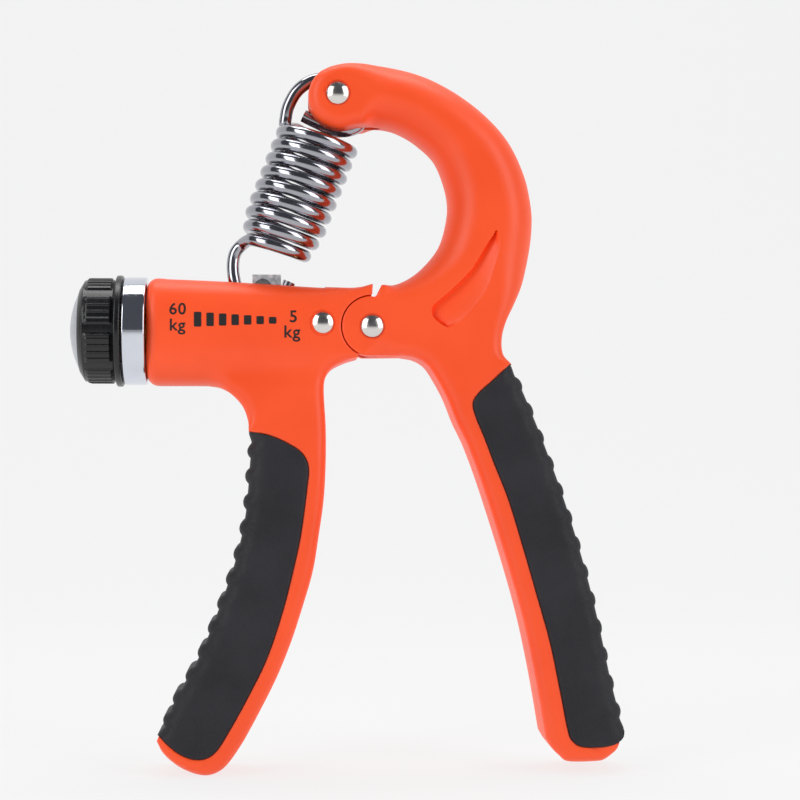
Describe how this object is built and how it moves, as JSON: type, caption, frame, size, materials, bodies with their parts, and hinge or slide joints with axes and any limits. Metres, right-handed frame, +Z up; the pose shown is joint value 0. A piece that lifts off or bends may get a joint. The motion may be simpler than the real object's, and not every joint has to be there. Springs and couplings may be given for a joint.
{
  "type": "hand grip strengthener",
  "caption": "Spring-loaded hand gripper with two hinged rubber-gripped handles, a hooked upper arm and a knob that sets the spring tension.",
  "frame": {"origin": "on the surface the handles' ends stand on, under the middle of the object", "axes": "+X from the tension knob along the barrel to the hook handle, +Y from the marked front face to the back, +Z up from the handles' ends to the hook"},
  "size_m": [0.1124, 0.023, 0.145],
  "materials": {
    "orange_plastic": "satin moulded",
    "grip_rubber": "fine matt grain",
    "knob_plastic": "gloss moulded",
    "chrome": "polished",
    "cap_metal": "satin",
    "spring_steel": "polished",
    "steel": "zinc plated",
    "brass": "machined"
  },
  "bodies": {
    "barrel_handle": {"barrel_handle_front": "orange_plastic", "barrel_handle_back": "orange_plastic", "barrel_handle_grip": "grip_rubber", "collar": "chrome", "screw_bush": "brass", "screw_end_block": "brass", "barrel_rivet": "chrome", "pivot_bush": "brass", "pivot_washers": "steel"},
    "hook_handle": {"hook_handle_front": "orange_plastic", "hook_handle_back": "orange_plastic", "hook_handle_grip": "grip_rubber", "pivot_rivet": "chrome", "tip_rivet": "chrome"},
    "knob": {"knob": "knob_plastic", "knob_cap": "cap_metal", "knob_screw": "steel", "thrust_washer": "steel", "adjusting_screw": "steel", "screw_clip": "steel"},
    "carriage": {"carriage": "steel", "carriage_pin": "steel"},
    "spring_seat": {"tip_sleeve": "steel"},
    "spring_top": {"spring_top_loop": "spring_steel"},
    "spring_middle": {"spring_coil": "spring_steel"},
    "spring_bottom": {"spring_bottom_loop": "spring_steel"}
  },
  "joints": [
    {"name": "squeeze", "type": "hinge", "parent": "barrel_handle", "child": "hook_handle", "pos_m": [0.0052, 0, 0.0909], "axis": [0, 1, 0], "range_deg": [0, 30], "stiffness_Nm_per_rad": 2.5, "springref_deg": -14.32},
    {"name": "knob_turn", "type": "hinge", "parent": "barrel_handle", "child": "knob", "pos_m": [-0.0498, 0, 0.0902], "axis": [1, 0, 0], "range_deg": [-360, 1440]},
    {"name": "carriage_slide", "type": "slide", "parent": "barrel_handle", "child": "carriage", "axis": [1, 0, 0], "range_m": [-0.0125, 0.0035]},
    {"name": "spring_swing", "type": "hinge", "parent": "hook_handle", "child": "spring_seat", "pos_m": [-0.00183, 0, 0.13837], "axis": [0, 1, 0], "range_deg": [-5, 1]},
    {"name": "spring_aim", "type": "hinge", "parent": "spring_seat", "child": "spring_top", "pos_m": [-0.00183, 0, 0.13837], "axis": [0, 1, 0], "range_deg": [-4, 12], "deforming": ["spring_top_loop"]},
    {"name": "spring_stretch", "type": "slide", "parent": "spring_top", "child": "spring_middle", "axis": [-0.3622, 0, -0.9321], "range_m": [-0.0005, 0.0125], "deforming": ["spring_coil"]},
    {"name": "spring_preload", "type": "slide", "parent": "spring_middle", "child": "spring_bottom", "axis": [-0.3622, 0, -0.9321], "range_m": [-0.0025, 0.0085], "deforming": ["spring_bottom_loop"]}
  ],
  "couplings": [
    {"joint": "carriage_slide", "follows": "knob_turn", "m_per_rad": -0.00047746},
    {"joint": "spring_swing", "follows": "squeeze", "ratio": -0.12},
    {"joint": "spring_aim", "follows": "knob_turn", "ratio": 0.007222},
    {"joint": "spring_stretch", "follows": "squeeze", "m_per_rad": 0.02274},
    {"joint": "spring_preload", "follows": "knob_turn", "m_per_rad": 0.00029842}
  ]
}
